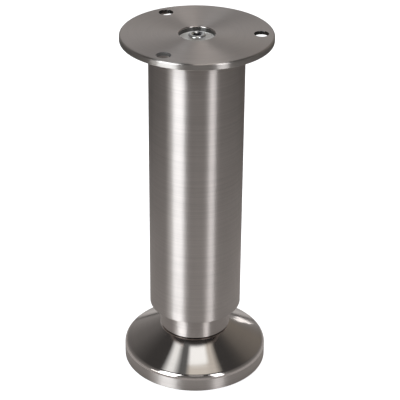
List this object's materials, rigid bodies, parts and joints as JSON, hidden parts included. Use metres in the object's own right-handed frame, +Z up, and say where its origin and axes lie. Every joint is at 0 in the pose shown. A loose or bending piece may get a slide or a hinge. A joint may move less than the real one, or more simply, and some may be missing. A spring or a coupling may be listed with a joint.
{
  "type": "height adjustable table leg",
  "caption": "Round stainless table leg: brushed tube on a flared swivel foot, screw-adjusted in height, with a round plate to screw under a table top.",
  "frame": {"origin": "centre of the foot, on the floor", "axes": "+Z up along the leg, +X towards one of the plate's screw holes"},
  "size_m": [0.0804, 0.0804, 0.1979],
  "materials": {
    "brushed_plate": "stainless steel brushed in circles",
    "brushed_tube": "stainless steel brushed around the tube",
    "polished_steel": "stainless steel, cone polished and rim brushed",
    "zinc_steel": "bright zinc plate",
    "plain_steel": "turned steel, oiled",
    "black_plastic": "moulded, matt",
    "pad_rubber": "matt"
  },
  "bodies": {
    "foot": {"foot_shell": "polished_steel", "foot_pad": "pad_rubber", "thrust_washer": "black_plastic"},
    "column": {"mounting_plate": "brushed_plate", "plate_screw": "zinc_steel", "top_plug": "plain_steel", "column_tube": "brushed_tube", "lower_plug": "plain_steel", "guide_bush": "black_plastic"},
    "adjuster": {"collar_sleeve": "brushed_tube", "collar_plug": "plain_steel", "spindle": "zinc_steel", "spindle_lock_nut": "zinc_steel", "retaining_washer": "zinc_steel", "retaining_nut": "zinc_steel"}
  },
  "joints": [
    {"name": "height_travel", "type": "slide", "parent": "foot", "child": "column", "axis": [0, 0, 1], "range_m": [-0.007, 0.013]},
    {"name": "collar_turn", "type": "hinge", "parent": "foot", "child": "adjuster", "pos_m": [0, 0, 0.0213], "axis": [0, 0, -1], "range_deg": [-1681, 3121]}
  ],
  "couplings": [
    {"joint": "collar_turn", "follows": "height_travel", "rad_per_m": 4188.8}
  ]
}
